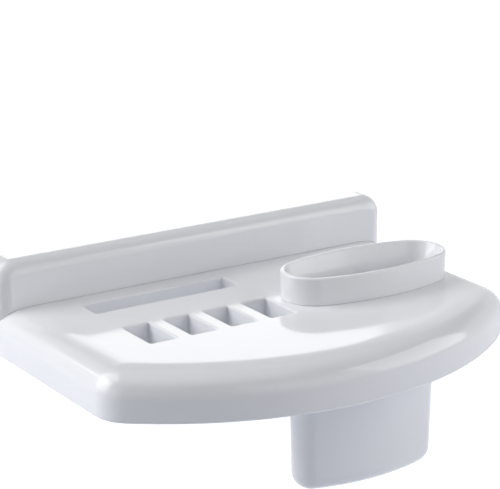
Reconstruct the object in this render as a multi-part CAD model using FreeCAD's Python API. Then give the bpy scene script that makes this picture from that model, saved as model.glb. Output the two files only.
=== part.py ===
import FreeCAD, Part
import math
import os

# Wall-mounted bathroom holder: a bow-fronted shelf with handle sockets and a slot, a back plate
# that hangs on a hidden bracket, and a cup that lifts out of the shelf.
# Millimetres. X runs along the wall, Y = 0 is the wall with the front towards -Y, and Z = 0 is
# the flat top of the shelf. The origin lies on the wall, midway between the two fixings.

# Row of handle sockets, and the slot behind it that is as long as the row
socket_count = 4
socket_width = 11.7
socket_gap = 6.3
socket_length = 21.6
socket_corner = 0.8
slot_width = 12.2
mouth_radius = 0.5
sleeve_wall = 1.8

# Cup: an oval of four arcs, with a raised band that stands on the shelf and a tapered body below
cup_length = 76.4
cup_width = 34.1
cup_side_bow = 3.75
cup_band_height = 11.4
cup_band_draft = 0.2
cup_shoulder = 3.2
cup_depth = 82.3
cup_taper = 1.9
cup_foot_radius = 7.5
cup_wall = 1.8
cup_rim_radius = 0.8
cup_play = 0.6
collar_wall = 2.0

# Margins and spaces on the shelf, from left to right and from the wall to the front
left_margin = 31.2
row_to_cup = 3.7
right_margin = 9.0
plate_to_slot = 9.4
slot_to_row = 19.8
row_to_front = 55.3
cup_setback = 2.0

# Shelf moulding and the cover under it
shelf_thickness = 18.8
front_radius = 138.2
flat_corner_radius = 3.8
crown_width = 12.0
crown_drop = 1.4
crown_radius = 40.0
top_roundover = 9.0
foot_roundover = 1.4
shell_wall = 2.5
cover_thickness = 2.5
cover_gap = 0.3

# Back plate
plate_thickness = 12.0
plate_height = 19.1
plate_flat_corner_radius = 2.3
plate_roundover = 5.8
plate_wall = 2.5
plate_end_inset = 0.3

# Screw posts
post_radius = 3.5
rear_post_gap = 12.0
corner_post_offset = 5.0
front_post_x = 32.0
front_post_inset = 16.0
window_to_post = 8.0
plate_end_to_post = 14.2

# Bracket on the wall, and the hook of the back plate that drops behind its lip
fixing_spacing = 56.0
fixing_to_bracket_end = 8.0
fixing_drop = 6.5
bracket_sheet = 1.5
bracket_corner = 4.0
bracket_foot_gap = 1.3
lip_height = 3.0
lip_headroom = 5.6
unhook_gap = 1.0
hook_thickness = 1.8
hook_gap = 0.5
hook_end_gap = 3.0
window_gap = 3.0

# Screws and plugs
screw_radius = 1.5
screw_head_radius = 2.9
screw_head_height = 1.8
cover_screw_tip_gap = 6.3
plate_screw_tip_gap = 5.3
wall_screw_radius = 2.0
wall_screw_head_radius = 4.0
wall_screw_head_height = 2.4
wall_screw_past_plug = 1.0
plug_radius = 3.0
plug_length = 30.0
plug_recess = 2.5
plug_slit_length = 18.0
plug_slit_width = 0.8
recess_width = 0.8
recess_depth = 1.1
screw_play = 0.3
thread_gap = 0.05

# How far a cutting body runs past the face that it cuts, and how near two places count as one
overrun = 1.0
tolerance = 1e-4

# Places of the sockets, the slot and the shelf
socket_pitch = socket_width + socket_gap
row_length = socket_count * socket_pitch - socket_gap
shelf_end = (left_margin + row_length + row_to_cup + cup_length + right_margin) / 2
row_left = left_margin - shelf_end
slot_back = -(plate_thickness + plate_to_slot)
slot_front = slot_back - slot_width
row_back = slot_front - slot_to_row
row_front = row_back - socket_length
shelf_front = row_front - row_to_front
shelf_bottom = -shelf_thickness
cover_top = shelf_bottom + cover_thickness

# Bow of the front and the corners beside it
corner_radius = crown_width + flat_corner_radius
bow_centre_y = shelf_front + front_radius
corner_x = shelf_end - corner_radius
corner_y = bow_centre_y - math.sqrt((front_radius - corner_radius) ** 2 - corner_x ** 2)
corner_angle = math.atan2(corner_y - bow_centre_y, corner_x)

# Cup and its opening
cup_x = shelf_end - right_margin - cup_length / 2
cup_y = (row_back + row_front) / 2 + cup_setback
cup_end_radius = cup_width / 2 - cup_side_bow
cup_foot_inset = cup_shoulder + cup_taper
opening_inset = cup_shoulder - cup_play
collar_inset = opening_inset - collar_wall

# Back plate, hook and bracket
plate_end = shelf_end - plate_end_inset
plate_corner = plate_roundover + plate_flat_corner_radius
plate_inside = plate_thickness - plate_wall
lip_top = plate_height - plate_wall - lip_headroom
ledge_top = lip_top - lip_height
ledge_bottom = ledge_top - bracket_sheet
fixing_z = ledge_bottom - fixing_drop
lift = lip_height + unhook_gap
bracket_bottom = cover_top + lift + bracket_foot_gap
bracket_end = fixing_spacing / 2 + fixing_to_bracket_end
lip_back = -(bracket_sheet + hook_thickness + 2 * hook_gap)
lip_front = lip_back - bracket_sheet
window_end = bracket_end + window_gap
fixing_places = (-fixing_spacing / 2, fixing_spacing / 2)
plug_end = plug_recess + plug_length

# Screw posts under the shelf and in the back plate
plate_post_y = post_radius - plate_inside
plate_post_top = plate_height - plate_roundover
plate_screw_top = plate_post_top - plate_screw_tip_gap
inner_post_x = window_end + window_to_post
outer_post_x = plate_end - plate_end_to_post
plate_post_places = (-outer_post_x, -inner_post_x, inner_post_x, outer_post_x)
rear_post_y = -(plate_thickness + rear_post_gap)
corner_post_x = corner_x + corner_post_offset * math.cos(corner_angle / 2)
corner_post_y = corner_y + corner_post_offset * math.sin(corner_angle / 2)
front_post_y = bow_centre_y - math.sqrt((front_radius - front_post_inset) ** 2 - front_post_x ** 2)
right_posts = ((corner_x, rear_post_y), (corner_post_x, corner_post_y), (front_post_x, front_post_y))
cover_post_places = [(side * x, y) for x, y in right_posts for side in (-1, 1)]
cover_screw_top = -(shell_wall + cover_screw_tip_gap)


def point(x, y, z):
    return FreeCAD.Vector(x, y, z)


def box(x0, x1, y0, y1, z0, z1):
    return Part.makeBox(x1 - x0, y1 - y0, z1 - z0, point(x0, y0, z0))


def upright(radius, x, y, z0, z1):
    """Cylinder that stands along Z."""
    return Part.makeCylinder(radius, z1 - z0, point(x, y, z0), point(0, 0, 1))


def outward(radius, x, z, y0, y1):
    """Cylinder that lies along Y."""
    return Part.makeCylinder(radius, y1 - y0, point(x, y0, z), point(0, 1, 0))


def level_arc(x, y, z, radius, start_angle, end_angle):
    """Arc about a centre in a level plane, from one angle through their mean to the other."""
    angles = (start_angle, (start_angle + end_angle) / 2, end_angle)
    spots = [point(x + radius * math.cos(angle), y + radius * math.sin(angle), z) for angle in angles]
    return Part.Arc(*spots).toShape()


def closed_wire(edges):
    return Part.Wire(Part.__sortEdges__(edges))


def raised(wire, height):
    return Part.Face(wire).extrude(point(0, 0, height))


def near(value, target):
    return abs(value - target) < tolerance


def edges_where(shape, test):
    """Edges whose two ends and middle all pass a test."""
    chosen = []
    for edge in shape.Edges:
        middle = edge.valueAt((edge.FirstParameter + edge.LastParameter) / 2)
        spots = [vertex.Point for vertex in edge.Vertexes] + [middle]
        if all(test(spot) for spot in spots):
            chosen.append(edge)
    return chosen


def bow_outline(inset, back, z):
    """Plan of the shelf, set in from its ends and front: two straight ends, two corners and the bow."""
    end = shelf_end - inset
    corner = corner_radius - inset
    left_angle = -math.pi - corner_angle
    return closed_wire([
        Part.makeLine(point(end, back, z), point(end, corner_y, z)),
        level_arc(corner_x, corner_y, z, corner, 0, corner_angle),
        level_arc(0, bow_centre_y, z, front_radius - inset, corner_angle, left_angle),
        level_arc(-corner_x, corner_y, z, corner, left_angle, -math.pi),
        Part.makeLine(point(-end, corner_y, z), point(-end, back, z)),
        Part.makeLine(point(-end, back, z), point(end, back, z)),
    ])


def oval_outline(inset, z):
    """Plan of the cup, set in all round: two end arcs and two flatter side arcs."""
    half_width = cup_width / 2
    reach = cup_length / 2 - cup_end_radius
    side_radius = (reach ** 2 + half_width ** 2 - cup_end_radius ** 2) / (2 * cup_side_bow)
    drop = side_radius - half_width
    turn = math.atan2(drop, reach)
    end = cup_end_radius - inset
    side = side_radius - inset
    return closed_wire([
        level_arc(cup_x + reach, cup_y, z, end, -turn, turn),
        level_arc(cup_x, cup_y - drop, z, side, turn, math.pi - turn),
        level_arc(cup_x - reach, cup_y, z, end, math.pi - turn, math.pi + turn),
        level_arc(cup_x, cup_y + drop, z, side, math.pi + turn, 2 * math.pi - turn),
    ])


def tapered_oval(low_inset, low, high_inset, high):
    return Part.makeLoft([oval_outline(low_inset, low), oval_outline(high_inset, high)], True, True)


def plate_outline(inset, bottom):
    """Front view of the back plate, set in from its ends and top."""
    end = plate_end - inset
    top = plate_height - inset
    corner = plate_corner - inset
    edges = [
        Part.makeLine(point(-end, 0, bottom), point(end, 0, bottom)),
        Part.makeLine(point(corner - end, 0, top), point(end - corner, 0, top)),
    ]
    cut = corner * (1 - math.sqrt(0.5))
    for side in (-1, 1):
        low = point(side * end, 0, top - corner)
        middle = point(side * (end - cut), 0, top - cut)
        high = point(side * (end - corner), 0, top)
        edges.append(Part.makeLine(point(side * end, 0, bottom), low))
        edges.append(Part.Arc(low, middle, high).toShape())
    return closed_wire(edges)


def rounded_rim(form, level, back, radius):
    """Rounds the edges at one height, apart from those along the back."""
    rim = edges_where(form, lambda spot: near(spot.z, level))
    return form.makeFillet(radius, [edge for edge in rim if not near(edge.CenterOfMass.y, back)])


def crowned_form(inset, back, bottom, top, roundover):
    """Plan of the shelf raised to a flat top that falls off gently in a crown and then in a round."""
    shoulder = top - crown_drop
    base = raised(bow_outline(inset, back, bottom), shoulder - bottom)
    outlines = [bow_outline(inset, back, shoulder), bow_outline(crown_width, back, top)]
    form = base.fuse(Part.makeLoft(outlines, True, True)).removeSplitter()
    return rounded_rim(form, shoulder, back, roundover)


def shelf_form():
    """Outside of the shelf, solid."""
    form = crowned_form(0, 0, shelf_bottom, 0, top_roundover)
    form = rounded_rim(form, 0, 0, crown_radius)
    return rounded_rim(form, shelf_bottom, 0, foot_roundover)


def shelf_hollow():
    """Inside of the shelf, open below."""
    bottom = shelf_bottom - overrun
    return crowned_form(shell_wall, -shell_wall, bottom, -shell_wall, top_roundover - shell_wall)


def mouths():
    """Plan of each socket and of the slot: left, right, front and back."""
    lefts = [row_left + place * socket_pitch for place in range(socket_count)]
    plans = [(left, left + socket_width, row_front, row_back) for left in lefts]
    plans.append((row_left, row_left + row_length, slot_front, slot_back))
    return plans


def mouth_bar(plan, grow, bottom, top):
    """Upright bar that fills one socket or the slot, grown all round."""
    left, right, front, back = plan
    bar = box(left - grow, right + grow, front - grow, back + grow, bottom, top)
    uprights = [edge for edge in bar.Edges if near(edge.CenterOfMass.z, (bottom + top) / 2)]
    return bar.makeFillet(socket_corner + grow, uprights)


def cover_screw(x, y, grow):
    """Countersunk screw under the shelf; grown, it is the hole that the screw goes through."""
    place = point(x, y, shelf_bottom)
    head = Part.makeCone(screw_head_radius + grow, screw_radius + grow, screw_head_height, place)
    shank = upright(screw_radius + grow, x, y, shelf_bottom, cover_screw_top + grow)
    return head.fuse(shank).removeSplitter()


def plate_screw(x):
    """Screw from the hollow of the shelf up into a post of the back plate."""
    head_face = -shell_wall - screw_head_height
    head = upright(screw_head_radius, x, plate_post_y, head_face, -shell_wall)
    shank = upright(screw_radius, x, plate_post_y, head_face, plate_screw_top)
    return head.fuse(shank).removeSplitter()


def cross_recess(x, y, z):
    """Cross cut upwards into the underside of a screw head."""
    half = recess_width / 2
    along = box(x - screw_radius, x + screw_radius, y - half, y + half, z - overrun, z + recess_depth)
    across = box(x - half, x + half, y - screw_radius, y + screw_radius, z - overrun, z + recess_depth)
    return along.fuse(across)


def make_shelf_shell():
    inside = -shell_wall / 2
    low = shelf_bottom - overrun
    added = [mouth_bar(plan, sleeve_wall, shelf_bottom, inside) for plan in mouths()]
    added.append(raised(oval_outline(collar_inset, shelf_bottom), inside - shelf_bottom))
    added += [upright(post_radius, x, y, cover_top, inside) for x, y in cover_post_places]
    cuts = [mouth_bar(plan, 0, low, overrun) for plan in mouths()]
    cuts.append(raised(oval_outline(opening_inset, low), overrun - low))
    cuts.append(box(-window_end, window_end, -plate_inside, overrun, cover_top, overrun))
    cuts += [cover_screw(x, y, thread_gap) for x, y in cover_post_places]
    hole = screw_radius + screw_play
    cuts += [upright(hole, x, plate_post_y, -shell_wall - overrun, overrun) for x in plate_post_places]
    shell = shelf_form().cut(shelf_hollow()).fuse(added).cut(cuts).removeSplitter()
    for left, right, front, back in mouths():
        plan = FreeCAD.BoundBox(left, front, 0, right, back, 0)
        plan.enlarge(tolerance)
        shell = shell.makeFillet(mouth_radius, edges_where(shell, plan.isInside))
    return shell


def make_base_cover():
    inset = shell_wall + cover_gap
    low = shelf_bottom - overrun
    high = cover_top + overrun
    cuts = [mouth_bar(plan, sleeve_wall + cover_gap, low, high) for plan in mouths()]
    cuts.append(raised(oval_outline(collar_inset - cover_gap, low), high - low))
    cuts += [cover_screw(x, y, thread_gap) for x, y in cover_post_places]
    return raised(bow_outline(inset, -inset, shelf_bottom), cover_thickness).cut(cuts)


def make_cover_screws():
    screws = [cover_screw(x, y, 0).cut(cross_recess(x, y, shelf_bottom)) for x, y in cover_post_places]
    return Part.makeCompound(screws)


def plate_bar(inset, depth, roundover):
    """Bar against the wall with the front view of the back plate, rounded along its front edges."""
    bottom = -(crown_drop + top_roundover)
    bar = Part.Face(plate_outline(inset, bottom)).extrude(point(0, -depth, 0))
    rim = edges_where(bar, lambda spot: near(spot.y, -depth))
    return bar.makeFillet(roundover, [edge for edge in rim if not near(edge.CenterOfMass.z, bottom)])


def make_back_plate():
    outside = plate_bar(0, plate_thickness, plate_roundover)
    hollow = plate_bar(plate_wall, plate_inside, plate_roundover - plate_wall)
    front = plate_wall / 2 - plate_thickness
    added = []
    for x in plate_post_places:
        added.append(upright(post_radius, x, plate_post_y, 0, plate_post_top))
        added.append(box(x - post_radius, x + post_radius, front, plate_post_y, 0, plate_post_top))
    hook_end = bracket_end - hook_end_gap
    hook_front = lip_back + hook_gap
    ceiling = plate_height - plate_wall / 2
    added.append(box(-hook_end, hook_end, hook_front, hook_front + hook_thickness, ledge_top, ceiling))
    bore_top = plate_screw_top + plate_screw_tip_gap / 2
    bore = screw_radius + thread_gap
    bores = [upright(bore, x, plate_post_y, -overrun, bore_top) for x in plate_post_places]
    return outside.cut(hollow).cut(shelf_form()).fuse(added).cut(bores).removeSplitter()


def make_plate_screws():
    head_face = -shell_wall - screw_head_height
    screws = [plate_screw(x).cut(cross_recess(x, plate_post_y, head_face)) for x in plate_post_places]
    return Part.makeCompound(screws)


def make_wall_bracket():
    """Strip bent forward into a ledge and up into a lip, with two screw holes."""
    strip = box(-bracket_end, bracket_end, -bracket_sheet, 0, bracket_bottom, ledge_top)
    ledge = box(-bracket_end, bracket_end, lip_front, 0, ledge_bottom, ledge_top)
    lip = box(-bracket_end, bracket_end, lip_front, lip_back, ledge_bottom, lip_top)
    bracket = strip.fuse([ledge, lip]).removeSplitter()
    bends = edges_where(bracket, lambda spot: near(spot.y, 0) and near(spot.z, ledge_top))
    bends += edges_where(bracket, lambda spot: near(spot.y, lip_front) and near(spot.z, ledge_bottom))
    bracket = bracket.makeFillet(bracket_sheet, bends)
    foot = edges_where(bracket, lambda spot: near(spot.z, bracket_bottom))
    corners = [edge for edge in foot if near(abs(edge.CenterOfMass.x), bracket_end)]
    bracket = bracket.makeFillet(bracket_corner, corners)
    hole = wall_screw_radius + screw_play
    return bracket.cut([outward(hole, x, fixing_z, -bracket_sheet - overrun, overrun) for x in fixing_places])


def make_wall_screws():
    screws = []
    head_face = -bracket_sheet - wall_screw_head_height
    recess_floor = head_face + recess_depth
    half = recess_width / 2
    reach = wall_screw_radius
    for x in fixing_places:
        head = outward(wall_screw_head_radius, x, fixing_z, head_face, -bracket_sheet)
        shank = outward(wall_screw_radius, x, fixing_z, head_face, plug_end + wall_screw_past_plug)
        level = box(x - reach, x + reach, head_face - overrun, recess_floor, fixing_z - half, fixing_z + half)
        plumb = box(x - half, x + half, head_face - overrun, recess_floor, fixing_z - reach, fixing_z + reach)
        screws.append(head.fuse(shank).removeSplitter().cut([level, plumb]))
    return Part.makeCompound(screws)


def make_wall_plugs():
    """Slit tubes pushed in past the face of the wall, so that they spread behind its tiles."""
    plugs = []
    half = plug_slit_width / 2
    reach = plug_radius + overrun
    slit_start = plug_end - plug_slit_length
    past = plug_end + overrun
    for x in fixing_places:
        tube = outward(plug_radius, x, fixing_z, plug_recess, plug_end)
        bore = outward(wall_screw_radius + thread_gap, x, fixing_z, plug_recess - overrun, past)
        slit = box(x - reach, x + reach, slit_start, past, fixing_z - half, fixing_z + half)
        plugs.append(tube.cut([bore, slit]))
    return Part.makeCompound(plugs)


def make_cup():
    """Band and body as one moulding; the round of its foot stays within the foot's end arcs."""
    floor = cup_wall - cup_depth
    foot_round = min(cup_foot_radius, cup_end_radius - cup_foot_inset - cup_band_draft)
    band = tapered_oval(cup_band_draft, 0, 0, cup_band_height)
    body = tapered_oval(cup_foot_inset, -cup_depth, cup_shoulder, 0)
    body = body.makeFillet(foot_round, edges_where(body, lambda spot: near(spot.z, -cup_depth)))
    hollow = tapered_oval(cup_foot_inset + cup_wall, floor, cup_shoulder + cup_wall, cup_wall)
    hollow = hollow.makeFillet(foot_round - cup_wall, edges_where(hollow, lambda spot: near(spot.z, floor)))
    band_hollow = tapered_oval(cup_shoulder + cup_wall, cup_wall, cup_wall, cup_band_height)
    cup = band.fuse(body).cut(hollow.fuse(band_hollow)).removeSplitter()
    return cup.makeFillet(cup_rim_radius, edges_where(cup, lambda spot: near(spot.z, cup_band_height)))


pieces = {
    "shelf_shell": make_shelf_shell,
    "base_cover": make_base_cover,
    "cover_screws": make_cover_screws,
    "back_plate": make_back_plate,
    "plate_screws": make_plate_screws,
    "cup": make_cup,
    "wall_bracket": make_wall_bracket,
    "wall_screws": make_wall_screws,
    "wall_plugs": make_wall_plugs,
}

os.makedirs("parts", exist_ok=True)
for name, make in pieces.items():
    shape = make()
    shape.exportStep("parts/" + name + ".step")
    print(name, "solids", len(shape.Solids), "valid", shape.isValid(), "volume", round(shape.Volume, 1))
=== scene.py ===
import math

import bmesh
import bpy
from bpy.props import FloatProperty, FloatVectorProperty, IntProperty, PointerProperty, StringProperty
from mathutils import Matrix, Vector


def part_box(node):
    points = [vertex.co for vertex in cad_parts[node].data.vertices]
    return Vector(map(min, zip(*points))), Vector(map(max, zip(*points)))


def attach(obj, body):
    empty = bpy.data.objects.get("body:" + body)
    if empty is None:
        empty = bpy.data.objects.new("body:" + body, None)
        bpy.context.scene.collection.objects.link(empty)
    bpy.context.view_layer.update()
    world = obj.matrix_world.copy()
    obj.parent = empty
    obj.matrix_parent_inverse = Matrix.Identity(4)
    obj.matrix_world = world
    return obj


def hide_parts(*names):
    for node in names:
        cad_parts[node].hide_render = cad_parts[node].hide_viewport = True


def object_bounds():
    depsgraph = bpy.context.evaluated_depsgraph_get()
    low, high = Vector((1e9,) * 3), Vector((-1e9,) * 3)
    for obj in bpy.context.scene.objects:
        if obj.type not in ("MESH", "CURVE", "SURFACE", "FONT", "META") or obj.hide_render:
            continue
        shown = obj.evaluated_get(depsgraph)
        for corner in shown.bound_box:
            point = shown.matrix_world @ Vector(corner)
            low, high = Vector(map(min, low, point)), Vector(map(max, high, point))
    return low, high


bl_info = {
    "name": "Wall-mounted bathroom holder",
    "version": (1, 0, 0),
    "blender": (4, 5, 0),
    "location": "3D View > Sidebar > Holder",
    "description": "Dresses the shelf, back plate, lift-out cup and fixings of a wall-mounted holder",
    "category": "Add Mesh",
}

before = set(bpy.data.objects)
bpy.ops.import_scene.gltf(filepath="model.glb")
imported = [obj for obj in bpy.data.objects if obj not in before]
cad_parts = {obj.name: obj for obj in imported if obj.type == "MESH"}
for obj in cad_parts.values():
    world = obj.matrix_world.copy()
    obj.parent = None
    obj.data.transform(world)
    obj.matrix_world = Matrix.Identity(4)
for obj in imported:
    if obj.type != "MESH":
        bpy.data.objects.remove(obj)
cad_low, cad_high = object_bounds()
shelf_low, shelf_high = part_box("shelf_shell")
plate_low, plate_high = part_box("back_plate")
cup_low, cup_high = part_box("cup")
bracket_low, bracket_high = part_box("wall_bracket")
cover_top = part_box("base_cover")[1].z

MM = 0.001
PLASTIC_IOR = 1.53
# How far a cutter runs past a face, and how close points are welded
OVERRUN = 1 * MM
WELD = 1e-6
# Steps round an oval, and in one turn of a thread
OVAL_STEPS = 240
THREAD_STEPS = 8
# Share of the flat top's corner that the shelf's section covers
FLAT_SHARE = 0.8
# Cross recess: its floor against its mouth, and its reach against the shank and the flat of the head
RECESS_TAPER = 0.55
RECESS_REACH = 1.2
RECESS_HEAD_REACH = 0.75
# Width of a screw where its point starts, and the crest of a plug's rib within its pitch
TIP_SHOULDER = 0.7
RIB_CREST = (0.7, 0.9)


def length(name, millimetres, description):
    """A length that a user may change, shown in the scene's units."""
    return FloatProperty(name=name, description=description, default=millimetres * MM, min=0,
                         subtype="DISTANCE", unit="LENGTH", precision=4)


def colour(name, default, description):
    """A colour that a user may change, as an sRGB hex value."""
    return StringProperty(name=name, description=description, default=default)


def power(name, watts, description):
    """The power of a lamp that a user may change."""
    return FloatProperty(name=name, description=description, default=watts, min=0, unit="POWER")


def amount(name, value, description):
    """A plain number that a user may change."""
    return FloatProperty(name=name, description=description, default=value, min=0)


def bearing(name, degrees, description):
    """An angle that a user may change."""
    return FloatProperty(name=name, description=description, default=math.radians(degrees),
                         subtype="ANGLE", unit="ROTATION")


class ShelfSizes(bpy.types.PropertyGroup):
    """Forms of the shelf moulding; its length, reach and thickness come from the frame."""
    front_radius: length("Front radius", 138.2, "Radius of the bowed front in plan")
    flat_corner_radius: length("Flat corner", 3.8, "Corner radius of the flat top in plan")
    crown_width: length("Crown width", 12.0, "Width of the crown, where the top falls off gently")
    crown_drop: length("Crown drop", 1.4, "How far the top falls off over the crown")
    crown_radius: length("Crown radius", 40.0, "Round between the flat top and the crown")
    top_roundover: length("Top roundover", 9.0, "Round between the crown and the sides")
    foot_roundover: length("Foot roundover", 1.4, "Round between the sides and the underside")
    wall: length("Wall", 2.5, "Thickness of the moulding")


class SocketSizes(bpy.types.PropertyGroup):
    """Row of handle sockets and the slot behind it."""
    count: IntProperty(name="Count", description="Sockets in the row", default=4, min=1)
    width: length("Width", 11.7, "Width of one socket along the wall")
    gap: length("Gap", 6.3, "Wall to wall distance between two sockets")
    reach: length("Reach", 21.6, "Length of one socket from back to front")
    slot_width: length("Slot width", 12.2, "Width of the slot from back to front")
    corner: length("Corner", 0.8, "Upright corners of a socket")
    mouth: length("Mouth", 0.8, "Round on the edge of a mouth")
    sleeve: length("Sleeve", 1.8, "Wall of the sleeve under a mouth")
    left_margin: length("Left margin", 31.2, "From the shelf's left end to the row")
    plate_to_slot: length("Plate to slot", 9.4, "From the back plate to the slot")
    slot_to_row: length("Slot to row", 19.8, "From the slot to the row of sockets")


class PlateSizes(bpy.types.PropertyGroup):
    """Forms of the hollow back plate; its length, height and thickness come from the frame."""
    roundover: length("Roundover", 5.8, "Round between the front face and the top and ends")
    flat_corner_radius: length("Flat corner", 2.3, "Corner radius of the flat front face")
    wall: length("Wall", 2.5, "Thickness of the moulding")
    joint_edge: length("Joint edge", 0.35, "Round along the foot, which shows as the joint line")
    post_radius: length("Post radius", 3.5, "Posts that take the small screws from below")
    hook_end_gap: length("Hook end gap", 3.0, "From the end of the bracket to the end of the hook")
    hook_thickness: length("Hook thickness", 1.8, "Thickness of the hook that drops behind the lip")
    hook_gap: length("Hook gap", 0.5, "Room between the hook and the bracket")
    lip_height: length("Lip height", 3.0, "Height of the bracket's lip, and of what hooks behind it")
    window_gap: length("Window gap", 3.0, "Room at each end of the bracket in the shelf's back wall")


class CupSizes(bpy.types.PropertyGroup):
    """Forms of the oval cup; its length, width and depth come from the frame."""
    side_bow: length("Side bow", 3.75, "Half width of the oval less the radius of its end arcs")
    band_draft: length("Band draft", 0.2, "Taper of the raised band")
    shoulder: length("Shoulder", 3.2, "Step from the band in to the body")
    taper: length("Taper", 1.9, "Taper of the body down to its foot")
    foot_radius: length("Foot radius", 7.5, "Round between the body and its foot")
    wall: length("Wall", 1.8, "Thickness of the wall")
    rim_radius: length("Rim radius", 0.8, "Round on the rim")
    inner_round: length("Inner round", 10.0, "Round inside, where the band runs into the body")
    band_edge: length("Band edge", 0.4, "Round on the band's lower edge, where its shadow line lies")
    play: length("Play", 0.6, "Room between the cup and its opening")
    collar_wall: length("Collar wall", 2.0, "Wall of the collar under the opening")


class FixingSizes(bpy.types.PropertyGroup):
    """Screws and wall plugs; their places, lengths and heads come from the frame."""
    screw_radius: length("Screw radius", 1.5, "Shank of the small screws")
    screw_play: length("Screw play", 0.3, "Room round a screw that passes through a wall")
    thread_gap: length("Thread gap", 0.05, "Room round a screw in its post")
    small_head: length("Small head", 1.8, "Height of a small screw's head")
    wall_screw_radius: length("Wall screw radius", 2.0, "Shank of the wall screws")
    wall_head: length("Wall head", 2.4, "Height of a wall screw's head")
    head_edge: length("Head edge", 0.7, "Round on the edge of a wall screw's head")
    thread_pitch: length("Thread pitch", 1.4, "Rise of the thread in one turn")
    thread_depth: length("Thread depth", 0.35, "Depth of the thread")
    tip: length("Tip", 3.0, "Length of a screw's point")
    recess_width: length("Recess width", 0.9, "Width of an arm of the cross recess")
    recess_depth: length("Recess depth", 1.2, "Depth of the cross recess")
    plug_bore: length("Plug bore", 2.05, "Radius of the plug's bore")
    plug_rib: length("Plug rib", 2.0, "Distance from one rib of the plug to the next")
    plug_rib_depth: length("Plug rib depth", 0.35, "Depth of the grooves between the ribs")
    plug_slit: length("Plug slit", 0.8, "Width of the slit that lets the plug spread")
    plug_slit_length: length("Plug slit length", 18.0, "Length of that slit")


class Finishes(bpy.types.PropertyGroup):
    """Colours of the materials, as sRGB hex values."""
    white: colour("White", "#F1F2F5", "Moulded white plastic")
    white_drift: colour("White drift", "#EDEFF3", "The same white where the melt ran slower")
    cover: colour("Cover", "#E1E3E7", "Fine-textured white plastic of the base cover")
    cover_grain: colour("Cover grain", "#D9DBE0", "Hollows of that texture")
    zinc: colour("Zinc", "#C3C6CB", "Zinc plating of the screws")
    zinc_dull: colour("Dull zinc", "#A9ADB5", "Cloudy patches of the plating")
    spangle_light: colour("Light spangle", "#BFC3C8", "Bright crystals of the galvanised sheet")
    spangle_dark: colour("Dark spangle", "#9CA1A8", "Dull crystals of the galvanised sheet")
    plug: colour("Plug", "#8F949B", "Grey plastic of the wall plugs")
    plug_flow: colour("Plug flow", "#858A92", "Flow marks of that plastic")
    floor: colour("Floor", "#CDD1DB", "Floor as it throws light back at the object")
    surround: colour("Surround", "#DDE3F2", "Soft light from all round")
    backdrop: colour("Backdrop", "#FFFFFF", "Floor and surroundings as they are seen")
    lamps: colour("Lamps", "#FFFFFF", "Light of the softboxes")


class StageSizes(bpy.types.PropertyGroup):
    """Camera, floor and lamps."""
    camera_place: FloatVectorProperty(name="Camera", description="Where the camera stands", unit="LENGTH",
                                      subtype="TRANSLATION", default=(-0.4292, -0.7022, 0.2595))
    camera_turn: bearing("Turn", -33.27, "Turn of the camera from straight at the wall")
    camera_dip: bearing("Dip", 16.93, "How far the camera looks down")
    lens: amount("Lens", 148.77, "Focal length in millimetres on a 36 mm sensor")
    floor_drop: length("Floor drop", 420, "From the top of the shelf to the floor")
    floor_reach: length("Floor reach", 9000, "Half the width of the floor")
    lamp_distance: length("Lamp distance", 2500, "From the object to each lamp")
    left_lamp: power("Left lamp", 36.5, "Softbox at the left and behind")
    high_lamp: power("High lamp", 32.0, "Softbox above it")
    right_lamp: power("Right lamp", 27.5, "Softbox at the right and in front")
    front_lamp: power("Front lamp", 11.0, "Softbox in front")
    back_lamp: power("Back lamp", 2.1, "Long softbox behind, mirrored in the flat top")
    top_lamp: power("Top lamp", 8.0, "Softbox overhead and a little in front")
    surround: amount("Surround", 0.03, "Strength of the soft light from all round")
    ceiling: amount("Ceiling", 0.1, "How bright the space overhead is in reflections")
    ceiling_start: amount("Ceiling start", 0.335, "Rise of a ray at which that space starts to darken")
    ceiling_end: amount("Ceiling end", 0.5, "Rise of a ray at which it is darkest")
    near_glow: amount("Near glow", 0.6, "What brings the floor up to white below the object")
    far_glow: amount("Far glow", 1.0, "What brings the floor up to white far behind")
    glow_start: length("Glow start", 1000, "How far away the floor starts to brighten")
    glow_end: length("Glow end", 3500, "How far away it is brightest")


class HolderSizes(bpy.types.PropertyGroup):
    """All that a user may change."""
    shelf: PointerProperty(type=ShelfSizes)
    sockets: PointerProperty(type=SocketSizes)
    plate: PointerProperty(type=PlateSizes)
    cup: PointerProperty(type=CupSizes)
    fixings: PointerProperty(type=FixingSizes)
    finishes: PointerProperty(type=Finishes)
    stage: PointerProperty(type=StageSizes)


def sizes():
    """The sizes that the scene holds."""
    return bpy.context.scene.holder_sizes


# Nodes and materials


def linear(hex_value):
    """Linear RGBA from an sRGB hex value."""
    channels = [int(hex_value[start:start + 2], 16) / 255 for start in (1, 3, 5)]
    return [c / 12.92 if c <= 0.04045 else ((c + 0.055) / 1.055) ** 2.4 for c in channels] + [1.0]


def add(tree, kind, settings=None, inputs=None):
    """Adds a node with its settings; an input takes a value, a socket or a node's first output in use."""
    node = tree.nodes.new(kind)
    for name, value in (settings or {}).items():
        setattr(node, name, value)
    for key, value in (inputs or {}).items():
        if isinstance(key, int):
            socket = node.inputs[key]
        else:
            socket = next(each for each in node.inputs if each.enabled and each.name == key)
        if isinstance(value, bpy.types.Node):
            value = next(each for each in value.outputs if each.enabled)
        if isinstance(value, bpy.types.NodeSocket):
            tree.links.new(value, socket)
        else:
            socket.default_value = value
    return node


def start_material(name):
    """A new material, its empty node tree, and the place on the piece that its patterns read."""
    material = bpy.data.materials.new(name)
    material.use_nodes = True
    tree = material.node_tree
    tree.nodes.clear()
    place = add(tree, "ShaderNodeTexCoord").outputs["Object"]
    return material, tree, place


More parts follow.
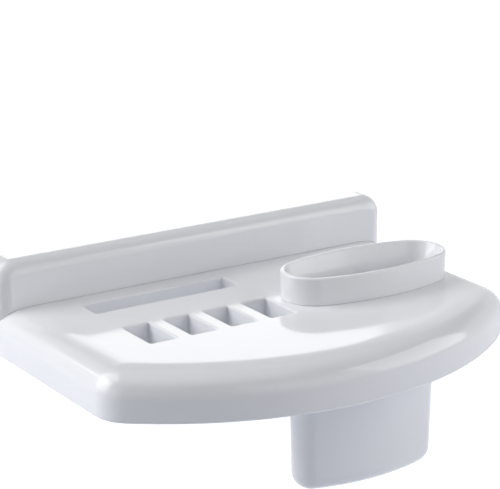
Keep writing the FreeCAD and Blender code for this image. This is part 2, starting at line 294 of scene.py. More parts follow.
def finish_material(tree, pattern, colours, gloss, settings, haze=None):
    """Adds the surface shader: a pattern blends two colours, and it or a haze blends two roughnesses."""
    blend = add(tree, "ShaderNodeMix", {"data_type": "RGBA"},
                {"Factor": pattern, "A": linear(colours[0]), "B": linear(colours[1])})
    rough = add(tree, "ShaderNodeMapRange", None,
                {**(haze or {"Value": pattern}), "To Min": gloss[0], "To Max": gloss[1]})
    shader = add(tree, "ShaderNodeBsdfPrincipled", None,
                 {"Base Color": blend, "Roughness": rough, **settings})
    add(tree, "ShaderNodeOutputMaterial", None, {"Surface": shader})


def per_mm(millimetres):
    """Scale of a pattern whose features are that large."""
    return 1 / (millimetres * MM)


def polished_abs():
    """ABS moulded in a polished tool: a clear gloss over milky white.

    The eye sees mirrored neighbours with soft edges, a faint drift in the white where the melt ran
    slower, and a very slight waviness in long reflections.
    """
    finishes = sizes().finishes
    material, tree, place = start_material("polished_abs")
    drift = add(tree, "ShaderNodeTexNoise", None, {"Vector": place, "Scale": per_mm(60), "Detail": 2.0})
    haze = add(tree, "ShaderNodeTexNoise", None, {"Vector": place, "Scale": per_mm(4), "Detail": 4.0})
    skin = add(tree, "ShaderNodeTexNoise", None, {"Vector": place, "Scale": per_mm(9), "Detail": 1.0})
    relief = add(tree, "ShaderNodeBump", None, {"Strength": 1.0, "Distance": 0.006 * MM, "Height": skin})
    finish_material(tree, drift, (finishes.white, finishes.white_drift), (0.07, 0.11),
                    {"Normal": relief, "IOR": PLASTIC_IOR},
                    {"Value": haze, "From Min": 0.3, "From Max": 0.7})
    return material


def textured_abs():
    """ABS moulded in a spark-eroded tool: a fine even grain that dulls the gloss to satin.

    The real grain is about 0.1 mm; it is drawn at 0.5 mm so that it shows at all.
    """
    finishes = sizes().finishes
    material, tree, place = start_material("textured_abs")
    grain = add(tree, "ShaderNodeTexNoise", None, {"Vector": place, "Scale": per_mm(0.5), "Detail": 2.0})
    relief = add(tree, "ShaderNodeBump", None, {"Strength": 0.6, "Distance": 0.05 * MM, "Height": grain})
    finish_material(tree, grain, (finishes.cover_grain, finishes.cover), (0.5, 0.38),
                    {"Normal": relief, "IOR": PLASTIC_IOR})
    return material


def zinc_plate():
    """Cold-headed steel with bright zinc plating: a cool grey metal with cloudy patches."""
    finishes = sizes().finishes
    material, tree, place = start_material("zinc_plate")
    cloud = add(tree, "ShaderNodeTexNoise", None, {"Vector": place, "Scale": per_mm(1.5), "Detail": 3.0})
    finish_material(tree, cloud, (finishes.zinc_dull, finishes.zinc), (0.38, 0.22), {"Metallic": 1.0})
    return material


def galvanised_sheet():
    """Hot-dip galvanised steel strip: grey metal with a spangle of crystals about 4 mm across."""
    finishes = sizes().finishes
    material, tree, place = start_material("galvanised_sheet")
    spangle = add(tree, "ShaderNodeTexVoronoi", None, {"Vector": place, "Scale": per_mm(4)})
    shade = add(tree, "ShaderNodeSeparateColor", None, {"Color": spangle.outputs["Color"]})
    finish_material(tree, shade, (finishes.spangle_dark, finishes.spangle_light), (0.48, 0.3),
                    {"Metallic": 1.0})
    return material


def moulded_nylon():
    """Nylon moulded in a plain tool: mid grey, half dull, with faint flow marks along the plug."""
    finishes = sizes().finishes
    material, tree, place = start_material("moulded_nylon")
    stretch = add(tree, "ShaderNodeMapping", None, {"Vector": place, "Scale": (1.0, 0.2, 1.0)})
    flow = add(tree, "ShaderNodeTexNoise", None, {"Vector": stretch, "Scale": per_mm(1.2), "Detail": 3.0})
    finish_material(tree, flow, (finishes.plug_flow, finishes.plug), (0.42, 0.55), {"IOR": PLASTIC_IOR})
    return material


def finish(make):
    """The material that a function makes, made once."""
    return bpy.data.materials.get(make.__name__) or make()


# Meshes


def new_piece(name, bm):
    """A piece from a mesh in the making, with its faces turned outwards."""
    bmesh.ops.recalc_face_normals(bm, faces=bm.faces)
    mesh = bpy.data.meshes.new(name)
    bm.to_mesh(mesh)
    bm.free()
    piece = bpy.data.objects.new(name, mesh)
    bpy.context.scene.collection.objects.link(piece)
    return piece


def make_plain(piece):
    """Turns what the modifiers make into the piece's own mesh."""
    graph = bpy.context.evaluated_depsgraph_get()
    shape = piece.evaluated_get(graph)
    mesh = bpy.data.meshes.new_from_object(shape, preserve_all_data_layers=True, depsgraph=graph)
    piece.modifiers.clear()
    piece.data = mesh


def clean(piece):
    """Welds the mesh, drops slivers and turns its faces outwards."""
    bm = bmesh.new()
    bm.from_mesh(piece.data)
    bmesh.ops.remove_doubles(bm, verts=bm.verts, dist=WELD)
    bmesh.ops.dissolve_degenerate(bm, edges=bm.edges, dist=WELD)
    bmesh.ops.recalc_face_normals(bm, faces=bm.faces)
    bm.to_mesh(piece.data)
    bm.free()


def carve(piece, operation, *others):
    """Cuts the other solids out of a piece or joins them to it, and removes them."""
    for other in others:
        modifier = piece.modifiers.new(other.name, "BOOLEAN")
        modifier.operation = operation
        modifier.solver = "EXACT"
        modifier.object = other
    make_plain(piece)
    clean(piece)
    for other in others:
        bpy.data.objects.remove(other)


def soften(piece, width, picked, degrees=50):
    """Rounds the edges that are sharper than that angle and whose middle is picked."""
    bm = bmesh.new()
    bm.from_mesh(piece.data)
    weight = bm.edges.layers.float.new("bevel_weight_edge")
    for edge in bm.edges:
        middle = (edge.verts[0].co + edge.verts[1].co) / 2
        edge[weight] = float(edge.calc_face_angle() > math.radians(degrees) and picked(middle))
    bm.to_mesh(piece.data)
    bm.free()
    modifier = piece.modifiers.new("soft_edges", "BEVEL")
    modifier.limit_method = "WEIGHT"
    modifier.width = width
    modifier.segments = 3
    modifier.use_clamp_overlap = False
    make_plain(piece)
    clean(piece)


def shade(piece, degrees=35):
    """Smooth shading that keeps flat faces flat beside their rounds, and real edges sharp."""
    piece.data.shade_smooth()
    piece.data.set_sharp_from_angle(angle=math.radians(degrees))
    modifier = piece.modifiers.new("weighted_normals", "WEIGHTED_NORMAL")
    modifier.keep_sharp = True
    make_plain(piece)


def put_in_place(piece, make, body, node):
    """Gives a finished piece its material, and lets it stand for a node of the frame."""
    piece.data.materials.clear()
    piece.data.materials.append(finish(make))
    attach(piece, body)
    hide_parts(node)


def dress_node(node, make):
    """Gives a node of the frame its material."""
    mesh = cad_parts[node].data
    mesh.materials.clear()
    mesh.materials.append(finish(make))


def arc(centre, radius, start, end, steps):
    """Stations along an arc of an outline: each a point and its outward normal."""
    stations = []
    for step in range(steps + 1):
        angle = start + (end - start) * step / steps
        normal = Vector((math.cos(angle), math.sin(angle)))
        stations.append((Vector(centre) + normal * radius, normal))
    return stations


def rounded(corners, quarter_steps=8):
    """Section through corners (inset, height, radius), with an arc at each corner that has a radius."""
    points = []
    for place, (inset, height, radius) in enumerate(corners):
        corner = Vector((inset, height))
        if not radius:
            points.append(corner)
            continue
        before = (Vector(corners[place - 1][:2]) - corner).normalized()
        after = (Vector(corners[place + 1][:2]) - corner).normalized()
        half = before.angle(after) / 2
        centre = corner + (before + after).normalized() * radius / math.sin(half)
        first = corner + before * radius / math.tan(half) - centre
        last = corner + after * radius / math.tan(half) - centre
        start = math.atan2(first.y, first.x)
        turn = math.remainder(math.atan2(last.y, last.x) - start, math.tau)
        steps = max(2, round(quarter_steps * abs(turn) / (math.pi / 2)))
        for step in range(steps + 1):
            angle = start + turn * step / steps
            points.append(centre + Vector((math.cos(angle), math.sin(angle))) * radius)
    kept = points[:1]
    for point in points[1:]:
        if (point - kept[-1]).length > WELD:
            kept.append(point)
    return kept


def join_rings(bm, rings, closed=True):
    """Faces between rings of points, and flat faces where the rings end."""
    count = len(rings[0])
    last = count if closed else count - 1
    for low, high in zip(rings, rings[1:]):
        for here in range(last):
            there = (here + 1) % count
            bm.faces.new((low[here], low[there], high[there], high[here]))
    bm.faces.new(rings[0])
    bm.faces.new(rings[-1])
    if not closed:
        bm.faces.new([ring[0] for ring in rings] + [ring[-1] for ring in reversed(rings)])


def swept_solid(name, stations, section, closed):
    """Closed solid with one section (inset, height) all round an outline, flat at both ends."""
    bm = bmesh.new()
    rings = []
    for inset, height in section:
        rings.append([bm.verts.new((*(point - normal * inset), height)) for point, normal in stations])
    join_rings(bm, rings, closed)
    return new_piece(name, bm)


def block(name, low, high):
    """Plain bar between two corners, used to cut or join."""
    bm = bmesh.new()
    bmesh.ops.create_cube(bm, size=1)
    middle = (Vector(low) + Vector(high)) / 2
    stretch = Matrix.Diagonal(Vector(high) - Vector(low)).to_4x4()
    bmesh.ops.transform(bm, matrix=Matrix.Translation(middle) @ stretch, verts=bm.verts)
    return new_piece(name, bm)


def solids_of(node):
    """Boxes of the separate solids of a node, from left to right."""
    bm = bmesh.new()
    bm.from_mesh(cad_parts[node].data)
    bmesh.ops.remove_doubles(bm, verts=bm.verts, dist=WELD)
    left = set(bm.verts)
    boxes = []
    while left:
        group = [left.pop()]
        for vert in group:
            linked = {edge.other_vert(vert) for edge in vert.link_edges} & left
            left -= linked
            group.extend(linked)
        low = Vector([min(vert.co[axis] for vert in group) for axis in range(3)])
        high = Vector([max(vert.co[axis] for vert in group) for axis in range(3)])
        boxes.append((low, high))
    bm.free()
    return sorted(boxes, key=lambda box: (box[0].x, box[0].y))


# Geometry Nodes trees


def start_tree(name, inputs):
    """A new tree with named inputs after its geometry, and the outputs of its input node."""
    tree = bpy.data.node_groups.new(name, "GeometryNodeTree")
    tree.interface.new_socket("Geometry", in_out="INPUT", socket_type="NodeSocketGeometry")
    tree.interface.new_socket("Geometry", in_out="OUTPUT", socket_type="NodeSocketGeometry")
    for label, kind in inputs.items():
        tree.interface.new_socket(label, in_out="INPUT", socket_type="NodeSocket" + kind)
    return tree, add(tree, "NodeGroupInput").outputs


def end_tree(tree, shape, material):
    """Ends a tree with real geometry in its material."""
    real = add(tree, "GeometryNodeRealizeInstances", None, {"Geometry": shape})
    painted = add(tree, "GeometryNodeSetMaterial", None, {"Geometry": real, "Material": material})
    add(tree, "NodeGroupOutput", None, {"Geometry": painted})


def run_tree(piece, tree, values):
    """Sets a tree's inputs on a piece and keeps what it makes as the piece's mesh."""
    modifier = piece.modifiers.new(tree.name, "NODES")
    modifier.node_group = tree
    for item in tree.interface.items_tree:
        if item.in_out == "INPUT" and item.name in values:
            modifier[item.identifier] = values[item.name]
    make_plain(piece)
    clean(piece)


def round_tree():
    """Carries a section round an oval of four arcs, or round a circle where its radii are equal.

    The section is the piece's own points: x is the inset from the outline and z the height. A point
    whose spread is 0 lies on the axis, and one whose thread is 1 lies in the thread.
    """
    tree, given = start_tree("round_tree", {
        "Length": "Float", "Width": "Float", "End Radius": "Float", "Side Radius": "Float",
        "Thread Pitch": "Float", "Thread Depth": "Float", "Steps": "Int", "Centre": "Vector",
        "Material": "Material"})
    section = given["Geometry"]
    count = add(tree, "GeometryNodeAttributeDomainSize", None, {"Geometry": section})
    columns = add(tree, "ShaderNodeMath", {"operation": "ADD"}, {0: given["Steps"], 1: 1.0})
    grid = add(tree, "GeometryNodeMeshGrid", None, {"Vertices X": columns, "Vertices Y": count})

    # What the section says at this row
    index = add(tree, "GeometryNodeInputIndex")
    row = add(tree, "ShaderNodeMath", {"operation": "MODULO"}, {0: index, 1: count})
    position = add(tree, "GeometryNodeInputPosition")
    spot = add(tree, "GeometryNodeSampleIndex", {"data_type": "FLOAT_VECTOR"},
               {"Geometry": section, "Value": position, "Index": row})
    part = add(tree, "ShaderNodeSeparateXYZ", None, {0: spot}).outputs
    known = {socket.name: socket for socket in given}
    known.update({"index": index, "count": count, "section_x": part["X"], "section_z": part["Z"]})
    for mark in ("spread", "thread"):
        named = add(tree, "GeometryNodeInputNamedAttribute", {"data_type": "FLOAT"}, {"Name": mark})
        known[mark] = add(tree, "GeometryNodeSampleIndex", {"data_type": "FLOAT"},
                          {"Geometry": section, "Value": named, "Index": row})

    # The turn of this column, the centres of the arcs, and a thread that goes in and out once in a pitch
    for name, operation, *terms in (
            ("share", "DIVIDE", "index", "count"),
            ("column", "FLOOR", "share"),
            ("turn", "DIVIDE", "column", "Steps"),
            ("angle", "MULTIPLY", "turn", math.tau),
            ("cosine", "COSINE", "angle"),
            ("sine", "SINE", "angle"),
            ("half_length", "DIVIDE", "Length", 2.0),
            ("half_width", "DIVIDE", "Width", 2.0),
            ("reach", "SUBTRACT", "half_length", "End Radius"),
            ("drop", "SUBTRACT", "Side Radius", "half_width"),
            ("slant", "ABSOLUTE", "sine"),
            ("right", "SIGN", "cosine"),
            ("back", "SIGN", "sine"),
            ("end_x", "MULTIPLY", "right", "reach"),
            ("beyond", "MULTIPLY", "back", "drop"),
            ("side_y", "MULTIPLY", "beyond", -1.0),
            ("rise", "DIVIDE", "section_z", "Thread Pitch"),
            ("phase", "SUBTRACT", "rise", "turn"),
            ("wave", "PINGPONG", "phase", 0.5),
            ("depth", "MULTIPLY", "Thread Depth", 2.0),
            ("groove", "MULTIPLY", "wave", "depth"),
            ("cut", "MULTIPLY", "groove", "thread"),
            ("inset", "ADD", "section_x", "cut")):
        known[name] = add(tree, "ShaderNodeMath", {"operation": operation},
                          {place: known.get(term, term) for place, term in enumerate(terms)})

    # Centre and radius of the arc that this column lies on
    centres = add(tree, "ShaderNodeCombineXYZ", None, {"X": known["reach"], "Y": known["drop"]})
    apart = add(tree, "ShaderNodeVectorMath", {"operation": "LENGTH"}, {0: centres}).outputs["Value"]
    limit = add(tree, "ShaderNodeMath", {"operation": "DIVIDE"}, {0: known["drop"], 1: apart})
    on_end = add(tree, "FunctionNodeCompare", {"data_type": "FLOAT", "operation": "LESS_THAN"},
                 {"A": known["slant"], "B": limit})
    end_centre = add(tree, "ShaderNodeCombineXYZ", None, {"X": known["end_x"]})
    side_centre = add(tree, "ShaderNodeCombineXYZ", None, {"Y": known["side_y"]})
    centre = add(tree, "GeometryNodeSwitch", {"input_type": "VECTOR"},
                 {"Switch": on_end, "False": side_centre, "True": end_centre})
    radius = add(tree, "GeometryNodeSwitch", {"input_type": "FLOAT"},
                 {"Switch": on_end, "False": given["Side Radius"], "True": given["End Radius"]})

    # Where the point goes
    out = add(tree, "ShaderNodeMath", {"operation": "SUBTRACT"}, {0: radius, 1: known["inset"]})
    normal = add(tree, "ShaderNodeCombineXYZ", None, {"X": known["cosine"], "Y": known["sine"]})
    arm = add(tree, "ShaderNodeVectorMath", {"operation": "SCALE"}, {0: normal, "Scale": out})
    plan = add(tree, "ShaderNodeVectorMath", {"operation": "ADD"}, {0: centre, 1: arm})
    spread = add(tree, "ShaderNodeVectorMath", {"operation": "SCALE"}, {0: plan, "Scale": known["spread"]})
    height = add(tree, "ShaderNodeCombineXYZ", None, {"Z": part["Z"]})
    raised = add(tree, "ShaderNodeVectorMath", {"operation": "ADD"}, {0: spread, 1: height})
    place = add(tree, "ShaderNodeVectorMath", {"operation": "ADD"}, {0: raised, 1: given["Centre"]})
    moved = add(tree, "GeometryNodeSetPosition", None, {"Geometry": grid, "Position": place})
    welded = add(tree, "GeometryNodeMergeByDistance", None, {"Geometry": moved, "Distance": WELD})
    end_tree(tree, welded, given["Material"])
    return tree


def places_tree():
    """Sets a copy of one piece on each of the piece's own points."""
    tree, given = start_tree("places_tree", {"Piece": "Object", "Material": "Material"})
    copied = add(tree, "GeometryNodeObjectInfo", None, {"Object": given["Piece"], "As Instance": True})
    copies = add(tree, "GeometryNodeInstanceOnPoints", None,
                 {"Points": given["Geometry"], "Instance": copied.outputs["Geometry"]})
    end_tree(tree, copies, given["Material"])
    return tree


def tree_of(make):
    """The tree that a function makes, made once."""
    return bpy.data.node_groups.get(make.__name__) or make()


def round_piece(name, section, make, marks=None, oval=None, steps=48):
    """A piece with one section all round; where the section's end is on the axis, its mark says so."""
    bm = bmesh.new()
    for inset, height in section:
        bm.verts.new((inset, 0, height))
    piece = new_piece(name, bm)
    for mark, default in (("spread", 1.0), ("thread", 0.0)):
        values = (marks or {}).get(mark, [default] * len(section))
        piece.data.attributes.new(mark, "FLOAT", "POINT").data.foreach_set("value", values)
    fixings = sizes().fixings
    values = {"Length": 0.0, "Width": 0.0, "End Radius": 0.0, "Side Radius": 0.0, "Steps": steps,
              "Thread Pitch": fixings.thread_pitch, "Thread Depth": fixings.thread_depth,
              "Material": finish(make)}
    values.update(oval or {})
    run_tree(piece, tree_of(round_tree), values)
    return piece


def pole_marks(section):
    """Marks of a section that starts and ends on the axis."""
    return {"spread": [0.0] + [1.0] * (len(section) - 2) + [0.0]}


def copies(name, places, piece, make):
    """Copies of one piece at these places, as one piece; the first one is removed."""
    bm = bmesh.new()
    for place in places:
        bm.verts.new(place)
    group = new_piece(name, bm)
    run_tree(group, tree_of(places_tree), {"Piece": piece, "Material": finish(make)})
    bpy.data.objects.remove(piece)
    return group


def pins(name, node, radius, low, high):
    """Upright round bars in line with the screws of a node."""
    section = [(-radius, low), (-radius, low), (-radius, high), (-radius, high)]
    pin = round_piece("pin", section, polished_abs, pole_marks(section))
    middles = [(low_corner + high_corner) / 2 for low_corner, high_corner in solids_of(node)]
    return copies(name, [(middle.x, middle.y, 0) for middle in middles], pin, polished_abs)


# Outlines of this holder


def bow_stations(back):
    """Plan of the shelf from its right back corner round the bow to its left back corner."""
    shelf = sizes().shelf
    end = shelf_high.x
    corner = shelf.crown_width + shelf.flat_corner_radius
    corner_x = end - corner
    bow_y = shelf_low.y + shelf.front_radius
    corner_y = bow_y - math.sqrt((shelf.front_radius - corner) ** 2 - corner_x ** 2)
    turn = math.atan2(corner_y - bow_y, corner_x)
    stations = [(Vector((end, back)), Vector((1, 0)))]
    stations += arc((corner_x, corner_y), corner, 0, turn, steps=24)
    stations += arc((0, bow_y), shelf.front_radius, turn, -math.pi - turn, steps=96)[1:]
    stations += arc((-corner_x, corner_y), corner, -math.pi - turn, -math.pi, steps=24)[1:]
    stations.append((Vector((-end, back)), Vector((-1, 0))))
    return stations


def box_stations(left, right, front, back, corner):
    """Plan of a socket or the slot: a rectangle with round corners."""
    stations = []
    centres = ((right - corner, back - corner), (left + corner, back - corner),
               (left + corner, front + corner), (right - corner, front + corner))
    for quarter, centre in enumerate(centres):
        start = quarter * math.pi / 2
        stations += arc(centre, corner, start, start + math.pi / 2, steps=6)
    return stations


def plate_stations(bottom):
    """Front view of the back plate from its right foot over the top to its left foot."""
    plate = sizes().plate
    corner = plate.roundover + plate.flat_corner_radius
    end = plate_high.x
    high = plate_high.z - corner
    stations = [(Vector((end, bottom)), Vector((1, 0)))]
    stations += arc((end - corner, high), corner, 0, math.pi / 2, steps=16)
    stations += arc((corner - end, high), corner, math.pi / 2, math.pi, steps=16)
    stations.append((Vector((-end, bottom)), Vector((-1, 0))))
    return stations


def cup_oval():
    """Sizes of the cup's oval for the tree that carries a section round it."""
    long = cup_high.x - cup_low.x
    wide = cup_high.y - cup_low.y
    bow = sizes().cup.side_bow
    end_radius = wide / 2 - bow
    reach = long / 2 - end_radius
    side_radius = (reach ** 2 + (wide / 2) ** 2 - end_radius ** 2) / (2 * bow)
    middle = (cup_low + cup_high) / 2
    return {"Length": long, "Width": wide, "End Radius": end_radius, "Side Radius": side_radius,
            "Centre": (middle.x, middle.y, 0)}


def shelf_form():
    """Outside of the shelf as a full solid."""
    shelf = sizes().shelf
    flat_start = shelf.crown_width + FLAT_SHARE * shelf.flat_corner_radius
    section = rounded([
        (2 * shelf.foot_roundover, shelf_low.z, 0), (0, shelf_low.z, shelf.foot_roundover),
        (0, -shelf.crown_drop, shelf.top_roundover), (shelf.crown_width, 0, shelf.crown_radius),
        (flat_start, 0, 0)], quarter_steps=20)
    return swept_solid("shelf", bow_stations(0), section, closed=False)


def mouth_places():
    """Plan of the first socket and of the slot, each left, right, front and back."""
    sockets = sizes().sockets
    left = shelf_low.x + sockets.left_margin
    row = sockets.count * (sockets.width + sockets.gap) - sockets.gap
    slot_back = plate_low.y - sockets.plate_to_slot
    slot_front = slot_back - sockets.slot_width
    row_back = slot_front - sockets.slot_to_row
    first = (left, left + sockets.width, row_back - sockets.reach, row_back)
    return first, (left, left + row, slot_front, slot_back)


def mouth_bars(name, section, grow):
    """Bars with one section that fill the sockets and the slot, grown all round."""
    sockets = sizes().sockets
    bars = []
    for label, plan in zip(("socket", "slot"), mouth_places()):
        left, right, front, back = plan
        stations = box_stations(left - grow, right + grow, front - grow, back + grow, sockets.corner + grow)
        bars.append(swept_solid(name + "_" + label, stations, section, closed=True))
    pitch = sockets.width + sockets.gap
    places = [(step * pitch, 0, 0) for step in range(sockets.count)]
    return copies(name + "_row", places, bars[0], polished_abs), bars[1]


# Operators


class BuildShelf(bpy.types.Operator):
    """Shelf moulding with its sockets, slot and cup opening"""
    bl_idname = "holder.build_shelf"
    bl_label = "Shelf"

    def execute(self, context):
        shelf = sizes().shelf
        sockets = sizes().sockets
        cup = sizes().cup
        plate = sizes().plate
        fixings = sizes().fixings
        bottom = shelf_low.z
        low = bottom - OVERRUN
        inside = -shelf.wall / 2

        piece = shelf_form()
        shoulder = -shelf.wall - shelf.crown_drop
        section = rounded([(shelf.wall, low, 0), (shelf.wall, shoulder, shelf.top_roundover - shelf.wall),
                           (shelf.crown_width, -shelf.wall, 0)], quarter_steps=16)
        carve(piece, "DIFFERENCE", swept_solid("hollow", bow_stations(-shelf.wall), section, closed=False))

        sleeves = mouth_bars("sleeve", [(0, bottom), (0, inside)], sockets.sleeve)
        opening = cup.shoulder - cup.play
        collar = opening - cup.collar_wall
        ring = [(opening, bottom), (collar, bottom), (collar, inside), (opening, inside)]
        solid = round_piece("collar", ring, polished_abs, pole_marks(ring), cup_oval(), OVAL_STEPS)
        posts = pins("cover_posts", "cover_screws", plate.post_radius, cover_top, inside)
        carve(piece, "UNION", *sleeves, solid, posts)

        mouth = rounded([(-sockets.mouth, OVERRUN, 0), (-sockets.mouth, 0, 0), (0, 0, sockets.mouth),
                         (0, low, 0)], quarter_steps=5)
        ring = [(opening, low), (opening, low), (opening, OVERRUN), (opening, OVERRUN)]
        hole = round_piece("opening", ring, polished_abs, pole_marks(ring), cup_oval(), OVAL_STEPS)
        window_end = bracket_high.x + plate.window_gap
        window_front = plate_low.y + plate.wall
        window = block("window", (-window_end, window_front, cover_top), (window_end, OVERRUN, OVERRUN))
        bores = pins("cover_bores", "cover_screws", fixings.screw_radius + fixings.thread_gap, bottom,
                     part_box("cover_screws")[1].z + fixings.thread_gap)
        holes = pins("plate_holes", "plate_screws", fixings.screw_radius + fixings.screw_play,
                     -shelf.wall - OVERRUN, OVERRUN)
        carve(piece, "DIFFERENCE", *mouth_bars("mouth", mouth, 0), hole, window, bores, holes)

        shade(piece)
        put_in_place(piece, polished_abs, "holder", "shelf_shell")
        return {"FINISHED"}


class BuildBackPlate(bpy.types.Operator):
    """Hollow back plate with its posts and hook"""
    bl_idname = "holder.build_back_plate"
    bl_label = "Back plate"

    def execute(self, context):
        plate = sizes().plate
        shelf = sizes().shelf
        fixings = sizes().fixings
        stand = Matrix.Rotation(math.pi / 2, 4, "X")
        thick = -plate_low.y
        inside = thick - plate.wall
        bottom = -(shelf.crown_drop + shelf.top_roundover)
        section = rounded([(0, 0, 0), (0, thick, plate.roundover), (plate.roundover, thick, 0)],
                          quarter_steps=14)
        piece = swept_solid("back_plate_moulding", plate_stations(bottom), section, closed=False)
        piece.data.transform(stand)
        section = rounded([(plate.wall, -OVERRUN, 0), (plate.wall, inside, plate.roundover - plate.wall),
                           (plate.roundover, inside, 0)], quarter_steps=14)
        hollow = swept_solid("plate_hollow", plate_stations(bottom - OVERRUN), section, closed=False)
        hollow.data.transform(stand)
        carve(piece, "DIFFERENCE", hollow, shelf_form())

        web_front = plate_low.y + plate.wall / 2
        screw_y = (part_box("plate_screws")[0].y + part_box("plate_screws")[1].y) / 2
        stations = [(Vector((plate.post_radius, web_front - screw_y)), Vector((1, 0)))]
        stations += arc((0, 0), plate.post_radius, 0, math.pi, steps=24)
        stations.append((Vector((-plate.post_radius, web_front - screw_y)), Vector((-1, 0))))
        post_top = plate_high.z - plate.roundover
        post = swept_solid("post", stations, [(0, 0), (0, post_top)], closed=False)
        places = [((low.x + high.x) / 2, screw_y, 0) for low, high in solids_of("plate_screws")]
        posts = copies("posts", places, post, polished_abs)

        hook_end = bracket_high.x - plate.hook_end_gap
        sheet = -bracket_low.y - plate.hook_thickness - 2 * plate.hook_gap
        hook_back = -sheet / 2 - plate.hook_gap
        hook_bottom = bracket_high.z - plate.lip_height
        hook = block("hook", (-hook_end, hook_back - plate.hook_thickness, hook_bottom),
                     (hook_end, hook_back, plate_high.z - plate.wall / 2))
        carve(piece, "UNION", posts, hook)
        bores = pins("plate_bores", "plate_screws", fixings.screw_radius + fixings.thread_gap, -OVERRUN,
                     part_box("plate_screws")[1].z + OVERRUN)
        carve(piece, "DIFFERENCE", bores)

        front = plate_low.y + plate.wall / 2
        end = plate_high.x - plate.wall / 2
        soften(piece, plate.joint_edge,
               lambda place: place.y < front or (abs(place.x) > end and place.y < -WELD))
        shade(piece)
        put_in_place(piece, polished_abs, "holder", "back_plate")
        return {"FINISHED"}


class BuildCup(bpy.types.Operator):
    """Oval cup with its raised band"""
    bl_idname = "holder.build_cup"
    bl_label = "Cup"

    def execute(self, context):
        cup = sizes().cup
        foot = cup.shoulder + cup.taper
        flat = foot + cup.foot_radius
        floor = cup_low.z + cup.wall
        corners = [
            (flat, cup_low.z, 0),
            (foot, cup_low.z, cup.foot_radius),
            (cup.shoulder, 0, cup.band_edge),
            (cup.band_draft, 0, cup.band_edge),
            (0, cup_high.z, cup.rim_radius),
            (cup.wall, cup_high.z, cup.rim_radius),
            (cup.shoulder + cup.wall, cup.wall, cup.inner_round),
            (foot + cup.wall, floor, cup.foot_radius - cup.wall),
            (flat, floor, 0),
        ]
        section = rounded(corners, quarter_steps=10)
        section = [section[0], *section, section[-1]]
        piece = round_piece("cup_moulding", section, polished_abs, pole_marks(section), cup_oval(),
                            OVAL_STEPS)
        shade(piece)
        put_in_place(piece, polished_abs, "cup_body", "cup")
        return {"FINISHED"}


class BuildBaseCover(bpy.types.Operator):
    """Cover under the shelf"""
    bl_idname = "holder.build_base_cover"
    bl_label = "Base cover"

    def execute(self, context):
        dress_node("base_cover", textured_abs)
        return {"FINISHED"}


def cross_cutter(reach, depth, width):
    """Tapered cross that cuts a recess into a head at z = 0, pointing up."""
    bm = bmesh.new()
    half = width / 2
    plan = [(reach, -half), (reach, half), (half, half), (half, reach), (-half, reach), (-half, half),
            (-reach, half), (-reach, -half), (-half, -half), (-half, -reach), (half, -reach), (half, -half)]
    rings = []
    for height, share in ((-OVERRUN, 1.0), (0, 1.0), (depth, RECESS_TAPER)):
        rings.append([bm.verts.new((x * share, y * share, height)) for x, y in plan])
    join_rings(bm, rings)
    return new_piece("cross", bm)


def turned_screw(name, head, radius, tall):
    """Screw that stands on its head at z = 0: head corners (radius, height, round), shank, thread, point."""
    fixings = sizes().fixings
    step = fixings.thread_pitch / THREAD_STEPS
    top = tall - fixings.tip
    start = head[-1][1] + fixings.thread_pitch / 2
    corners = [(-wide, level, edge) for wide, level, edge in head] + [(-radius, start, 0)]
    section = [Vector((0, 0)), *rounded(corners, quarter_steps=6)]
    thread = [0.0] * len(section)
    for count in range(1, int((top - start) / step)):
        section.append(Vector((-radius, start + count * step)))
        thread.append(1.0)
    section += [Vector((-radius * TIP_SHOULDER, top)), Vector((0, tall))]
    thread += [0.0, 0.0]
    marks = pole_marks(section)
    marks["thread"] = thread
    screw = round_piece(name, section, zinc_plate, marks)
    reach = min(radius * RECESS_REACH, head[0][0] * RECESS_HEAD_REACH)
    carve(screw, "DIFFERENCE", cross_cutter(reach, fixings.recess_depth, fixings.recess_width))
    return screw


class BuildScrews(bpy.types.Operator):
    """Screws of the base cover, of the back plate and of the wall bracket"""
    bl_idname = "holder.build_screws"
    bl_label = "Screws"

    def execute(self, context):
        fixings = sizes().fixings
        for node, body in (("cover_screws", "holder"), ("plate_screws", "holder"),
                           ("wall_screws", "wall_mount")):
            boxes = solids_of(node)
            low, high = boxes[0]
            on_wall = node == "wall_screws"
            along = 1 if on_wall else 2
            tall = high[along] - low[along]
            radius = fixings.wall_screw_radius if on_wall else fixings.screw_radius
            height = fixings.wall_head if on_wall else fixings.small_head
            edge = fixings.head_edge if on_wall else fixings.head_edge / 2
            head_radius = (high.x - low.x) / 2
            head = [(head_radius / 2, 0, 0)]
            if node == "cover_screws":
                head += [(head_radius, 0, 0), (radius, height, 0)]
            else:
                head += [(head_radius, 0, edge), (head_radius, height, 0), (radius, height, 0)]
            screw = turned_screw("screw", head, radius, tall)
            if on_wall:
                screw.data.transform(Matrix.Rotation(-math.pi / 2, 4, "X"))
            places = []
            for low, high in boxes:
                place = (low + high) / 2
                place[along] = low[along]
                places.append(place)
            piece = copies(node + "_set", places, screw, zinc_plate)
            shade(piece)
            put_in_place(piece, zinc_plate, body, node)
        return {"FINISHED"}


